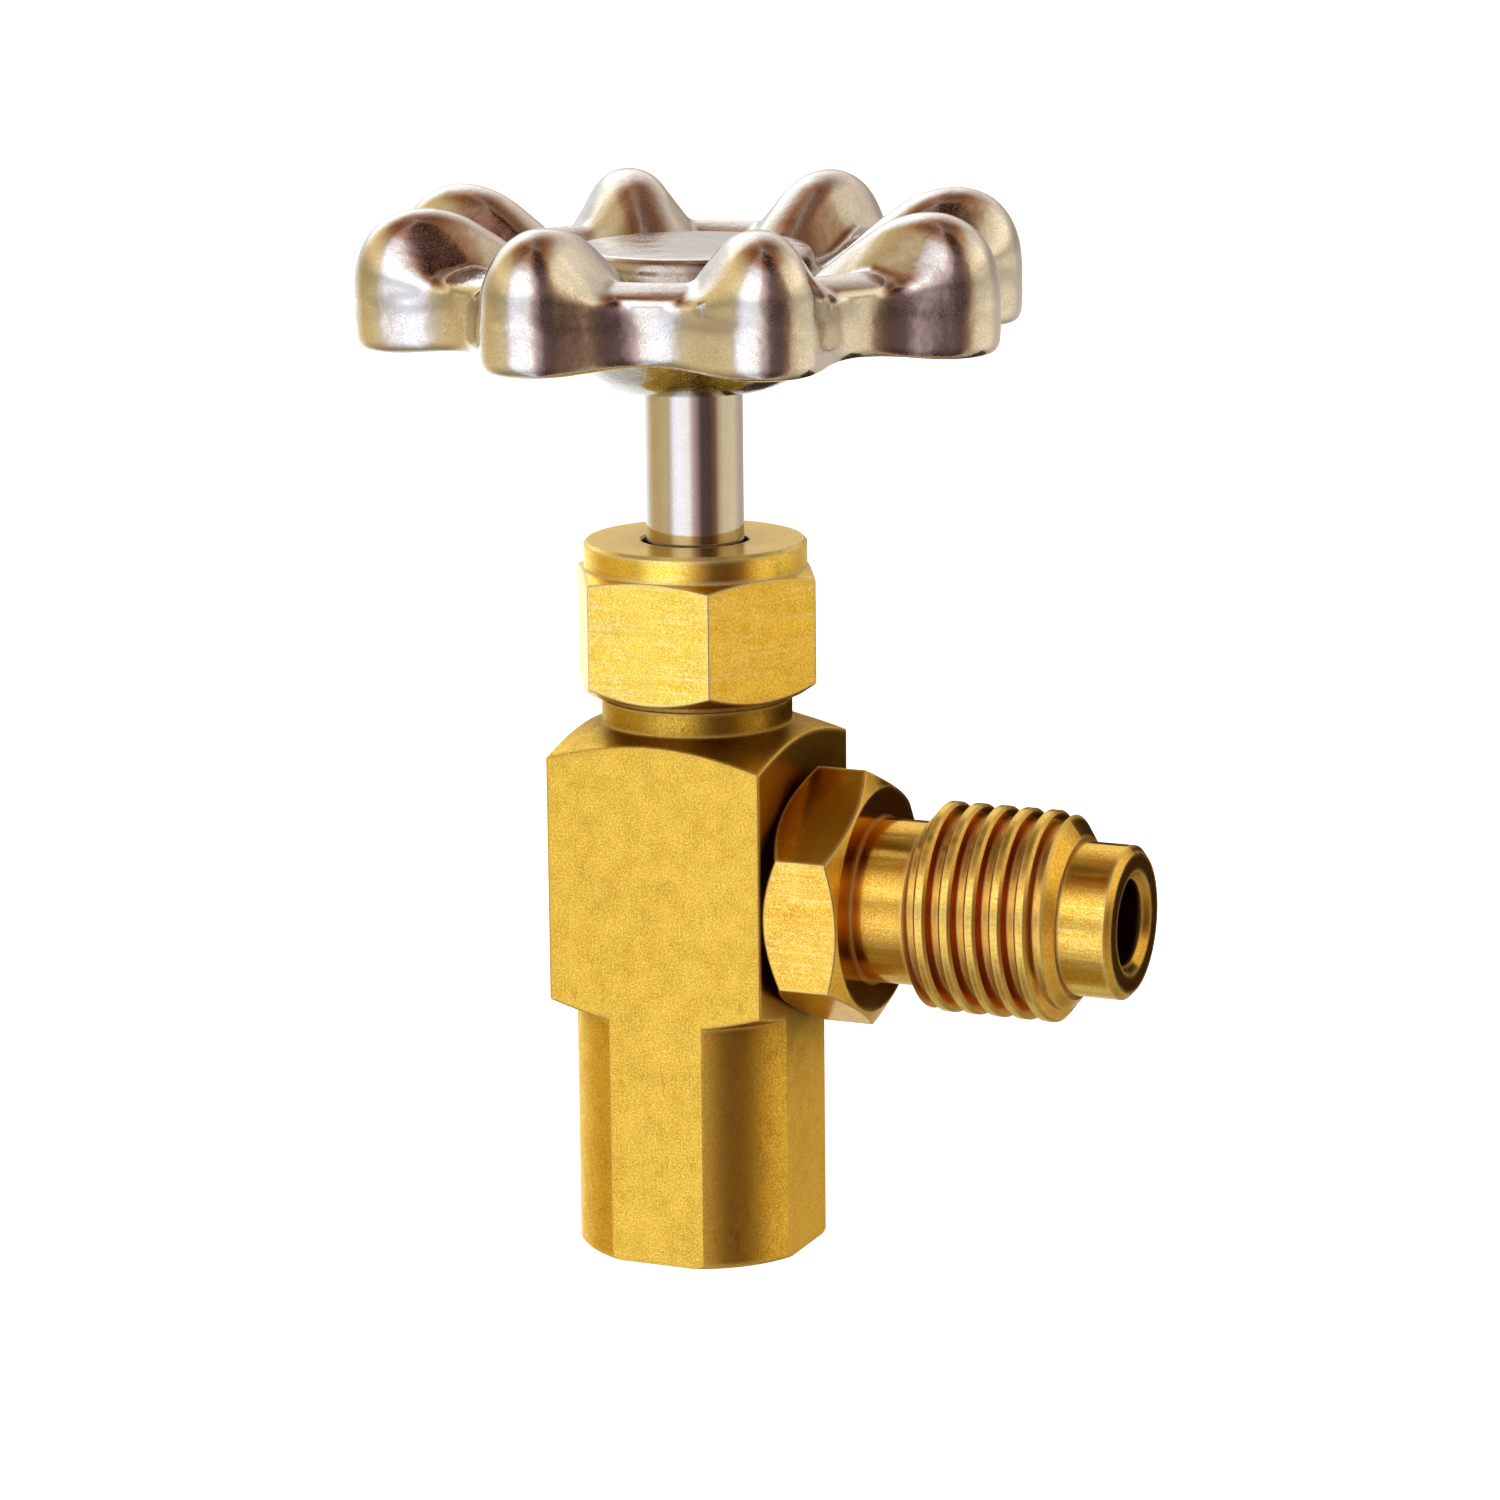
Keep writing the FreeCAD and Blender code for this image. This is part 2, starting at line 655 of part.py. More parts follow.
def build_handwheel():
    """Cast handwheel: domed hub, thin web, rim, raised boss and eight arched finger lobes."""
    body = new_body("handwheel")
    turned(body, "wheel_disc", [
        ("0", "hub_bottom"),
        ("hub_foot_radius", "hub_bottom"),
        ("hub_radius", "hub_flare_height"),
        ("web_inner_radius", "web_bottom"),
        ("web_outer_radius", "web_bottom"),
        ("web_outer_radius + rim_edge", "rim_bottom"),
        ("rim_radius - rim_edge", "rim_bottom"),
        ("rim_radius", "rim_bottom + rim_edge"),
        ("rim_radius", "rim_top - rim_edge"),
        ("rim_radius - rim_edge", "rim_top"),
        ("web_outer_radius + rim_edge", "rim_top"),
        ("web_outer_radius - rim_edge", "web_top"),
        ("boss_radius", "web_top"),
        ("boss_radius", "boss_top"),
        ("0", "boss_top"),
    ])
    sections = []
    for station in ("root", "mid", "peak", "face", "end"):
        sketch = new_sketch(body, f"lobe_{station}_sketch", "YZ_Plane", f"lobe_{station}_place")
        arch(sketch, f"lobe_{station}_width", "lobe_bottom", f"lobe_{station}_top")
        sections.append(sketch)
    lobe = add_feature(body, "AdditiveLoft", "lobe", sections[0])
    lobe.Sections = sections[1:]
    settle(body, lobe)
    lobes = body.newObject("PartDesign::PolarPattern", "lobes")
    lobes.Originals = [lobe]
    lobes.Axis = (next(line for line in body.Origin.OriginFeatures if line.Role == "Z_Axis"), [""])
    lobes.Angle = 360
    lobes.setExpression("Occurrences", bound("wheel_lobes"))
    body.Tip = lobes
    settle(body, lobes)
    turned(body, "stem_socket", [
        ("0", "hub_bottom"),
        ("wheel_socket_radius", "hub_bottom"),
        ("wheel_socket_radius", "wheel_socket_top"),
        ("0", "wheel_socket_top"),
    ], cut=True)
    any_angle = 1
    turn = FreeCAD.Rotation(FreeCAD.Vector(0, 0, 1), any_angle)
    body.Placement = FreeCAD.Placement(FreeCAD.Vector(0, 0, 0), turn)
    body.setExpression("Placement.Rotation.Angle", bound("wheel_turn"))
    return body


def check_document():
    """Stops if any object of the document failed to recompute."""
    for item in DOC.Objects:
        if "Invalid" in item.State or "Error" in item.State:
            raise RuntimeError(f"{item.Label} is {item.State}")


def export(parts):
    """Writes each sub-part as a STEP file named after its label, after checking its solid."""
    for part in parts:
        shape = part.Shape
        if shape.isNull() or not shape.isValid() or len(shape.Solids) != 1:
            raise RuntimeError(f"{part.Label} is not one valid solid")
    os.makedirs("parts", exist_ok=True)
    for part in parts:
        part.Shape.exportStep(f"parts/{part.Label}.step")
        print(f"{part.Label}: {part.Shape.Volume:.2f} mm3")


DOC = FreeCAD.newDocument("needle_valve")
SHEET = make_sheet(DOC)
PARTS = [
    build_valve_body(),
    build_outlet_connector(),
    build_outlet_o_ring(),
    build_packing_nut(),
    build_gland_follower(),
    *build_packing(),
    build_inlet_gasket(),
    build_needle(),
    build_stem(),
    build_needle_retainer(),
    build_thrust_ball(),
    build_handwheel(),
]
DOC.recompute()
check_document()
export(PARTS)
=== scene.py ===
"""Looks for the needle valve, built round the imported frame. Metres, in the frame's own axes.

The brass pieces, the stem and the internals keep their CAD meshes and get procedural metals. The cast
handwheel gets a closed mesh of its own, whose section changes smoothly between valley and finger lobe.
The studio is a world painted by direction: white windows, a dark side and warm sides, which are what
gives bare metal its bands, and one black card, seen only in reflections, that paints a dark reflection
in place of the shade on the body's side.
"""
import math

import bpy
import numpy as np
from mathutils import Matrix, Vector


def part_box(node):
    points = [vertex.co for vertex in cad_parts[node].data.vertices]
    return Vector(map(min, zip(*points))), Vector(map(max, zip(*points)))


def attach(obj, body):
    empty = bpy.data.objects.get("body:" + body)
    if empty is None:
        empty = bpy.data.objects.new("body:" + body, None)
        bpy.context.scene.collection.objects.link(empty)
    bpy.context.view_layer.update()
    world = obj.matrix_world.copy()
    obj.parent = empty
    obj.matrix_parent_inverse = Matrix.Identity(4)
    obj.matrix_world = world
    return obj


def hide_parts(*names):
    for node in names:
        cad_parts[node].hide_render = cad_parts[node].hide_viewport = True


MM = 0.001
MICRON = 1e-6

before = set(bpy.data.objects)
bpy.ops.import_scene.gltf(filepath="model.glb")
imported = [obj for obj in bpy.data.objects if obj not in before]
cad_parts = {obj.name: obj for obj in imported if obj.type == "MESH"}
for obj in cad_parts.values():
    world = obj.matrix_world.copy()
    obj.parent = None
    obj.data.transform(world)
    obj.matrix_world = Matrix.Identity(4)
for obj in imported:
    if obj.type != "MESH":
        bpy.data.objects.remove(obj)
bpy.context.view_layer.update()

# ---------------------------------------------------------------------------------------- sizes

OUTLET_HEIGHT = sum(corner.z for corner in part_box("outlet_o_ring")) / 2

# Camera: where it stands as seen from the valve and how far it is rolled, in degrees, how far away it is,
# and the point it aims at, which lies to the right of and above a point on the stem's axis
CAMERA_AZIMUTH = 23.8857
CAMERA_ELEVATION = 12.70985
CAMERA_ROLL = -0.7005
CAMERA_DISTANCE = 332.815 * MM
CAMERA_LENS = 130.56
CAMERA_SENSOR = 36.0
CAMERA_CLIP = (0.01, 20.0)
AIM_HEIGHT = 30.009 * MM
AIM_RIGHT = 3.1815 * MM
AIM_UP = 0.7964 * MM

# Handwheel: its lobes, how far they are turned in degrees, how finely the mesh is cut round it and from
# row to row, and the least rise in mm that a lobe's curves are worked out for
LOBES = 8
WHEEL_TURN = -7.6
AROUND = 640
PER_ROW = 5
SMALLEST_RISE = 0.01
# Each row is a ring of the casting, from the boss over the rim to the stem's hole:
# valley radius and height, lobe radius and height, half the lobe's width there, all in mm, the share
# of the bends that its rounded top takes, and how much of the flank is bend rather than straight
WHEEL_ROWS = [
    (0.02, 61.90, 0.02, 61.90, 4.0, 0.7, 1.0),
    (3.50, 61.90, 3.50, 61.90, 4.0, 0.7, 1.0),
    (6.40, 61.84, 6.40, 61.84, 4.0, 0.7, 1.0),
    (7.00, 61.68, 7.00, 61.68, 3.6, 0.7, 1.0),
    (7.28, 61.30, 7.28, 61.30, 3.2, 0.7, 1.0),
    (7.45, 60.72, 7.45, 60.75, 2.9, 0.7, 0.8),
    (7.75, 60.18, 7.80, 60.40, 2.8, 0.7, 0.8),
    (8.50, 59.92, 8.60, 60.55, 3.0, 0.7, 0.8),
    (9.70, 59.92, 9.90, 61.40, 3.4, 0.7, 0.8),
    (11.1, 60.15, 11.2, 62.40, 3.7, 0.7, 0.8),
    (12.4, 60.66, 12.5, 63.30, 3.8, 0.7, 0.8),
    (13.5, 61.22, 13.8, 64.08, 3.9, 0.7, 0.8),
    (14.4, 61.50, 15.1, 64.52, 4.0, 0.7, 0.8),
    (15.0, 61.44, 16.3, 64.66, 4.2, 0.7, 0.8),
    (15.6, 61.28, 17.5, 64.54, 4.5, 0.68, 0.8),
    (16.1, 61.09, 18.8, 63.95, 5.0, 0.66, 0.82),
    (16.5, 60.84, 19.8, 62.85, 5.7, 0.62, 0.85),
    (16.68, 60.50, 20.36, 61.45, 6.7, 0.54, 0.9),
    (16.70, 60.10, 20.54, 60.00, 7.6, 0.43, 0.94),
    (16.70, 59.20, 20.54, 59.10, 8.05, 0.43, 0.94),
    (16.70, 58.05, 20.54, 57.90, 8.05, 0.43, 0.94),
    (16.60, 57.25, 20.42, 56.95, 8.05, 0.43, 0.94),
    (16.2, 56.86, 19.9, 56.48, 8.05, 0.43, 0.95),
    (15.40, 56.90, 18.5, 56.42, 8.0, 0.43, 1.0),
    (14.80, 57.30, 16.8, 57.15, 7.4, 0.42, 1.0),
    (14.10, 57.95, 15.0, 57.95, 6.2, 0.42, 1.0),
    (12.30, 58.10, 12.3, 58.10, 6.2, 0.42, 1.0),
    (10.60, 57.60, 10.60, 57.60, 6.2, 0.42, 1.0),
    (9.00, 56.60, 9.00, 56.60, 6.2, 0.42, 1.0),
    (7.60, 55.30, 7.60, 55.30, 6.2, 0.42, 1.0),
    (6.30, 54.10, 6.30, 54.10, 6.2, 0.42, 1.0),
    (5.00, 53.42, 5.00, 53.42, 6.2, 0.42, 1.0),
    (3.90, 53.21, 3.90, 53.21, 6.2, 0.42, 1.0),
    (3.20, 53.21, 3.20, 53.21, 6.2, 0.42, 1.0),
    (3.00, 53.40, 3.00, 53.40, 6.2, 0.42, 1.0),
    (3.00, 54.20, 3.00, 54.20, 6.2, 0.42, 1.0),
    (3.00, 57.00, 3.00, 57.00, 6.2, 0.42, 1.0),
    (3.00, 59.60, 3.00, 59.60, 6.2, 0.42, 1.0),
    (2.90, 59.98, 2.90, 59.98, 6.2, 0.42, 1.0),
    (0.02, 60.00, 0.02, 60.00, 6.2, 0.42, 1.0),
]

# Noises of the metals and rubbers: scale per millimetre, detail, roughness
PATCHES = (0.8, 5.0, 0.68)
GRAINS = (9.0, 3.0, 0.75)
TURNED_MARKS = (9.0, 3.0, 0.65)
DRAWN_LINES = (7.0, 4.0, 0.75)
LINE_FLAWS = (1.6, 2.0, 0.6)
CAST_WAVES = (0.55, 2.0, 0.5)
CAST_GRAIN = (3.0, 3.0, 0.6)
POLYMER_GRAIN = (6.0, 4.0, 0.6)
# Where each effect of a noise starts, and where it is full or, for the last one, gone
PATCHES_DARKEN = (0.42, 0.68)
GRAINS_DARKEN = (0.40, 0.66)
GRAINS_DULL = (0.42, 0.62)
FLAWS_DARKEN = (0.62, 0.76)
LINES_LIGHTEN = (0.5, 0.7)
POLYMER_DARKENS = (0.4, 0.7)
GLOSS_CHANGES = (0.35, 0.65)
GRAINS_LIGHTEN = (0.32, 0.50)
# How strong the effects are that all the metals share
FLAW_DARKNESS = 0.6
LINE_LIGHTNESS = 0.35
FINE_IN_GLOSS = 0.4
PATCHES_IN_GLOSS = 0.6
EDGE_DULLNESS = 0.4
CAST_GRAIN_SHARE = 0.1
# Rubbers: the darker shade, how far the colour moves to it, how the roughness varies, the grain's depth
POLYMER_SHADE = 0.6
POLYMER_DARKNESS = 0.35
POLYMER_DULLING = 0.08
POLYMER_DEPTH = 6 * MICRON
# Painted shade in corners and grooves, where shade falls: how near a wall counts, the open shares of a full
# recess and of none, and the heights in mm over which the floor stops counting as a wall
RECESS_SHADE_REACH = 9 * MM
RECESS_SHADE_OPENNESS = (0.42, 0.90)
FLOOR_HEIGHTS = (4.0, 12.0)
RECESS_SHADE_SAMPLES = 6
# Painted edge highlight: how wide the edges are, and how alike the rounded normal and the face's are on
# them and off them
EDGE_WIDTH = 0.45 * MM
EDGE_LIKENESS = (0.92, 0.995)
EDGE_SAMPLES = 4


# ---------------------------------------------------------------------------------------- nodes

def node(tree, kind, inputs=None, **settings):
    """A shader node with its settings and inputs; an input is a value or another node's output."""
    made = tree.nodes.new(f"ShaderNode{kind}")
    for key, setting in settings.items():
        setattr(made, key, setting)
    for key, given in (inputs or {}).items():
        if isinstance(given, bpy.types.NodeSocket):
            tree.links.new(given, made.inputs[key])
        else:
            made.inputs[key].default_value = given
    return made


def math_out(tree, operation, first, second=0.0, third=0.0, clamp=False):
    made = node(tree, "Math", {0: first, 1: second, 2: third}, operation=operation, use_clamp=clamp)
    return made.outputs[0]


def ramp(tree, factor, stops, gain):
    """A colour ramp; stops are (place, grey) or (place, (red, green, blue)).

    A ramp's colours stop at 1, so they are held divided by gain."""
    made = node(tree, "ValToRGB", {"Fac": factor})
    band = made.color_ramp
    band.elements.remove(band.elements[1])
    for index, (place, shade) in enumerate(stops):
        colour = shade if isinstance(shade, tuple) else (shade,) * 3
        element = band.elements.new(place) if index else band.elements[0]
        element.position = place
        element.color = (*(c / gain for c in colour), 1.0)
    return made.outputs["Color"]


def spread(tree, factor, low, high, start=0.0, end=1.0):
    """factor taken from start..end onto low..high, and held there outside."""
    return node(tree, "MapRange", {"Value": factor, "From Min": start, "From Max": end,
                                   "To Min": low, "To Max": high}).outputs[0]


def noise_out(tree, vector, scale, detail, roughness):
    return node(tree, "TexNoise", {"Vector": vector, "Scale": scale, "Detail": detail,
                                   "Roughness": roughness}).outputs["Fac"]


def mix_colour(tree, factor, first, second, blend="MIX"):
    made = node(tree, "Mix", {"Factor": factor}, data_type="RGBA", blend_type=blend)
    for socket, given in ((made.inputs[6], first), (made.inputs[7], second)):
        if isinstance(given, bpy.types.NodeSocket):
            tree.links.new(given, socket)
        else:
            socket.default_value = (*given, 1.0)
    return made.outputs[2]


def bump(tree, height, depth, normal=None):
    """Height, from 0 to 1, worth depth metres."""
    inputs = {"Height": height, "Strength": 1.0, "Distance": depth}
    if normal is not None:
        inputs["Normal"] = normal
    return node(tree, "Bump", inputs).outputs["Normal"]


def new_material(name):
    material = bpy.data.materials.new(name)
    material.use_nodes = True
    material.node_tree.nodes.clear()
    return material, material.node_tree


def surface(tree, inputs):
    """A principled shader as the material's surface."""
    shader = node(tree, "BsdfPrincipled", inputs)
    output = node(tree, "OutputMaterial")
    tree.links.new(shader.outputs[0], output.inputs["Surface"])


def place_in_mm(tree):
    """The place on the piece, in millimetres; it moves with the piece."""
    coordinates = node(tree, "TexCoord").outputs["Object"]
    return node(tree, "VectorMath", {0: coordinates, "Scale": 1 / MM}, operation="SCALE").outputs[0]


def turned_place(tree, place, along_x):
    """(distance from the turning axis, place along it, 0), which is constant round each tool mark."""
    axes = node(tree, "SeparateXYZ", {0: place}).outputs
    if along_x:
        lift = math_out(tree, "SUBTRACT", axes[2], OUTLET_HEIGHT / MM)
        across, along = (axes[1], lift), axes[0]
    else:
        across, along = (axes[0], axes[1]), axes[2]
    flat = node(tree, "CombineXYZ", {0: across[0], 1: across[1]}).outputs[0]
    radius = node(tree, "VectorMath", {0: flat}, operation="LENGTH").outputs["Value"]
    return node(tree, "CombineXYZ", {0: radius, 1: along}).outputs[0]


def stretched(tree, place, along):
    """The place squeezed along one way or more, so that noise drawn there runs in lines that way."""
    return node(tree, "VectorMath", {0: place, 1: along}, operation="MULTIPLY").outputs[0]


def painted_recess_shade(tree, place):
    """Painted shade mask: 1 deep in corners and grooves, where shade falls, 0 in the open and down by the
    floor.
    """
    walls = node(tree, "AmbientOcclusion", {"Distance": RECESS_SHADE_REACH}, samples=RECESS_SHADE_SAMPLES)
    height = node(tree, "SeparateXYZ", {0: place}).outputs[2]
    return math_out(tree, "MULTIPLY", spread(tree, walls.outputs["AO"], 1.0, 0.0, *RECESS_SHADE_OPENNESS),
                    spread(tree, height, 0.0, 1.0, *FLOOR_HEIGHTS))


def highlit_edges(tree):
    """Mask for the painted edge highlight and added roughness: 1 on edges, 0 on faces and rounds."""
    rounded = node(tree, "Bevel", {"Radius": EDGE_WIDTH}, samples=EDGE_SAMPLES).outputs[0]
    faced = node(tree, "NewGeometry").outputs["Normal"]
    likeness = node(tree, "VectorMath", {0: rounded, 1: faced}, operation="DOT_PRODUCT").outputs["Value"]
    return spread(tree, likeness, 1.0, 0.0, *EDGE_LIKENESS)


def metal(name, colour, dark, pale, rough, grain, patchy, marks=0.0, along_x=False, cast=0.0,
          lines=None, line_depth=0.0, edges=0.0, haze=0.0, recess_shade=None):
    """A bare metal: tool marks, handling marks, a little tarnish, painted shade in corners and a painted
    edge highlight.

    rough is (low, high); marks is half the depth of the turning marks, cast the depth of a casting's soft
    unevenness and line_depth that of drawn or milled lines, all in micrometres; along_x says that the
    piece was turned about the outlet's axis and not the stem's; lines is how much the drawn or milled
    lines are squeezed each way; grain and patchy are how far the colour moves to dark or pale, and edges
    how far it moves to pale on edges, a painted highlight; haze is how much rougher the duller grains
    are; recess_shade is the painted shade colour laid in corners and grooves."""
    material, tree = new_material(name)
    place = place_in_mm(tree)
    patches = noise_out(tree, place, *PATCHES)
    grains = noise_out(tree, place, *GRAINS)
    shade = math_out(tree, "ADD", spread(tree, patches, 0.0, patchy, *PATCHES_DARKEN),
                     spread(tree, grains, 0.0, grain, *GRAINS_DARKEN), clamp=True)
    base = mix_colour(tree, shade, colour, dark)
    bright = spread(tree, grains, grain, 0.0, *GRAINS_LIGHTEN)
    fine, normal = grains, None
    if marks:
        fine = noise_out(tree, turned_place(tree, place, along_x), *TURNED_MARKS)
        normal = bump(tree, fine, marks * 2 * MICRON)
    if lines is not None:
        drawn = noise_out(tree, stretched(tree, place, lines), *DRAWN_LINES)
        flaws = noise_out(tree, stretched(tree, place, lines), *LINE_FLAWS)
        base = mix_colour(tree, spread(tree, flaws, 0.0, FLAW_DARKNESS, *FLAWS_DARKEN), base, dark)
        bright = math_out(tree, "ADD", bright, spread(tree, drawn, 0.0, LINE_LIGHTNESS, *LINES_LIGHTEN),
                          clamp=True)
        normal = bump(tree, drawn, line_depth * MICRON, normal)
    base = mix_colour(tree, bright, base, pale)
    # Painted shade: the colour darkens towards the recess colour in corners and grooves, where shade falls.
    if recess_shade:
        base = mix_colour(tree, painted_recess_shade(tree, place), base, recess_shade)
    if cast:
        normal = bump(tree, noise_out(tree, place, *CAST_WAVES), cast * MICRON, normal)
        normal = bump(tree, noise_out(tree, place, *CAST_GRAIN), cast * CAST_GRAIN_SHARE * MICRON, normal)
    dullness = math_out(tree, "MULTIPLY_ADD", fine, FINE_IN_GLOSS,
                        math_out(tree, "MULTIPLY", patches, PATCHES_IN_GLOSS))
    roughness = spread(tree, dullness, *rough, *GLOSS_CHANGES)
    if haze:
        roughness = math_out(tree, "ADD", roughness, spread(tree, grains, 0.0, haze, *GRAINS_DULL))
    # Painted highlight: edges are mixed towards the pale colour, and they are also made rougher.
    if edges:
        edge_share = highlit_edges(tree)
        base = mix_colour(tree, math_out(tree, "MULTIPLY", edge_share, edges), base, pale)
        roughness = math_out(tree, "MULTIPLY_ADD", edge_share, EDGE_DULLNESS, roughness, clamp=True)
    tint = tuple((1 + c) / 2 for c in pale)
    surface(tree, {"Base Color": base, "Metallic": 1.0, "Roughness": roughness,
                   "Specular Tint": (*tint, 1.0), "Normal": normal})
    return material


def polymer(name, colour, rough):
    """A rubber or plastic with a fine grain, a little darker and duller in places."""
    material, tree = new_material(name)
    grains = noise_out(tree, place_in_mm(tree), *POLYMER_GRAIN)
    darker = tuple(POLYMER_SHADE * c for c in colour)
    darkened = spread(tree, grains, 0.0, POLYMER_DARKNESS, *POLYMER_DARKENS)
    surface(tree, {"Base Color": mix_colour(tree, darkened, colour, darker),
                   "Roughness": spread(tree, grains, rough - POLYMER_DULLING, rough + POLYMER_DULLING),
                   "Normal": bump(tree, grains, POLYMER_DEPTH)})
    return material


# ---------------------------------------------------------------------------------------- handwheel

def smooth_rows(rows, per_row):
    """Catmull-Rom curve through rows, with per_row steps from each row to the next."""
    points = np.array(rows, float)
    padded = np.vstack([2 * points[0] - points[1], points, 2 * points[-1] - points[-2]])
    made = []
    for index in range(len(points) - 1):
        before, start, end, after = padded[index:index + 4]
        for step in range(per_row):
            t = step / per_row
            made.append(0.5 * (2 * start + (end - before) * t
                               + (2 * before - 5 * start + 4 * end - after) * t**2
                               + (3 * start - before - 3 * end + after) * t**3))
    made.append(points[-1])
    return np.array(made)


def lobe_share(off_centre, height, half_width, top_share, bend):
    """How far the lobe rises at each distance from its middle, from 0 to 1.

    Each side is an arc at the top, a straight flank and a hollow arc at the foot, tangent to each other."""
    height = max(height, SMALLEST_RISE)
    both_radii = bend * (half_width**2 + height**2) / (2 * height)
    flank = math.sqrt(max(half_width**2 + (both_radii - height)**2 - both_radii**2, 0.0))
    slope = math.atan2(both_radii, flank) - math.atan2(both_radii - height, half_width)
    top_radius, foot_radius = both_radii * top_share, both_radii * (1 - top_share)
    off_centre = np.minimum(off_centre, half_width)
    on_top = height - top_radius + np.sqrt(np.maximum(top_radius**2 - off_centre**2, 0))
    on_foot = foot_radius - np.sqrt(np.maximum(foot_radius**2 - (half_width - off_centre)**2, 0))
    top_end = top_radius * math.sin(slope)
    on_flank = height - top_radius * (1 - math.cos(slope)) - (off_centre - top_end) * math.tan(slope)
    bent = np.where(off_centre < top_end, on_top, on_foot)
    straight = (off_centre >= top_end) & (off_centre <= half_width - foot_radius * math.sin(slope))
    return np.where(straight, on_flank, bent) / height


def handwheel_points():
    """Points of the casting in mm, AROUND to a row."""
    rows = smooth_rows(WHEEL_ROWS, PER_ROW)
    angles = np.arange(AROUND) * (2 * math.pi / AROUND)
    pitch = 2 * math.pi / LOBES
    from_lobe = (angles - math.radians(WHEEL_TURN) + pitch / 2) % pitch - pitch / 2
    points = []
    for valley_r, valley_z, lobe_r, lobe_z, half_width, top_share, bend in rows:
        rise = math.hypot(lobe_r - valley_r, lobe_z - valley_z)
        share = lobe_share(np.abs(from_lobe) * lobe_r, rise, half_width, top_share, bend)
        radius = valley_r + (lobe_r - valley_r) * share
        height = valley_z + (lobe_z - valley_z) * share
        points.append(np.stack([radius * np.cos(angles), radius * np.sin(angles), height], axis=1))
    return np.concatenate(points)


def handwheel_mesh():
    """The rows joined to each other, and closed in the middle of the boss and of the stem hole's end."""
    verts = handwheel_points() * MM
    row_count = len(verts) // AROUND
    faces = []
    for row in range(row_count - 1):
        for step in range(AROUND):
            following = (step + 1) % AROUND
            faces.append((row * AROUND + step, (row + 1) * AROUND + step,
                          (row + 1) * AROUND + following, row * AROUND + following))
    last = (row_count - 1) * AROUND
    faces.append(tuple(range(AROUND)))
    faces.append(tuple(last + step for step in reversed(range(AROUND))))
    mesh = bpy.data.meshes.new("handwheel_casting")
    mesh.from_pydata([tuple(v) for v in verts], [], faces)
    mesh.polygons.foreach_set("use_smooth", [True] * len(mesh.polygons))
    mesh.update()
    return mesh


def make_handwheel(material):
    wheel = bpy.data.objects.new("handwheel_casting", handwheel_mesh())
    bpy.context.scene.collection.objects.link(wheel)
    wheel.data.materials.append(material)
    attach(wheel, "spindle")
    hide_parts("handwheel")


# ---------------------------------------------------------------------------------------- studio

# What the metal sees at each azimuth, in degrees from +X, at about the horizon
AROUND_THE_STUDIO = [
    (-180, (0.78, 0.57, 0.27)),
    (-158, (0.78, 0.58, 0.27)),
    (-136, (0.82, 0.66, 0.38)),
    (-129, (0.76, 0.63, 0.44)),
    (-123, (0.98, 0.88, 0.78)),
    (-115, (1.42, 1.44, 1.60)),
    (-104, (1.55, 1.60, 1.80)),
    (-80, (1.50, 1.44, 1.42)),
    (-69, (0.80, 0.60, 0.58)),
    (-60, (0.48, 0.34, 0.34)),
    (-50, (0.14, 0.085, 0.085)),
    (-30, (0.13, 0.070, 0.062)),
    (-16, (0.26, 0.15, 0.095)),
    (-4, (0.80, 0.60, 0.38)),
    (6, (0.96, 0.80, 0.55)),
    (40, (1.02, 0.88, 0.63)),
    (62, (0.68, 0.57, 0.47)),
    (96, (0.68, 0.58, 0.50)),
    (114, (1.05, 0.98, 0.95)),
    (130, (1.50, 1.54, 1.56)),
    (150, (1.30, 1.28, 1.18)),
    (165, (1.00, 0.84, 0.60)),
    (180, (0.78, 0.57, 0.27)),
]
# What that is multiplied by at each elevation, in degrees: a grey, or a colour high up
UP_THE_STUDIO = [
    (-90, 0.50),
    (-52, 0.45),
    (-34, 0.75),
    (-20, 1.0),
    (-10, 1.0),
    (-2, 0.72),
    (4, 0.58),
    (10, 0.66),
    (17, 0.98),
    (24, 1.27),
    (32, 1.20),
    (46, 0.82),
    (57, (0.50, 0.32, 0.24)),
    (70, (0.25, 0.11, 0.065)),
    (82, (0.25, 0.16, 0.13)),
    (90, (0.34, 0.29, 0.26)),
]
# The brightest that each of the two ramps can hold
AROUND_GAIN = 2.0
UP_GAIN = 1.35

FLOOR_HALF_SIDE = 4.0
FLOOR_COLOUR = (0.9, 0.9, 0.9, 1.0)
FLOOR_GLOW = 0.9
MATT = 0.9

# The black card, a painted dark reflection in place of the shade beside the outlet: which way it stands
# from its base point, how far, and half its sides
CARD_TOWARDS = Vector((0.395, 0.893, -0.22))
CARD_BASE = Vector((7.0, 0.0, 27.5)) * MM
CARD_DISTANCE = 32 * MM
CARD_HALF_WIDTH = 30 * MM
CARD_HALF_HEIGHT = 14 * MM
SHADE_CARD_COLOUR = (0.03, 0.012, 0.006, 1.0)


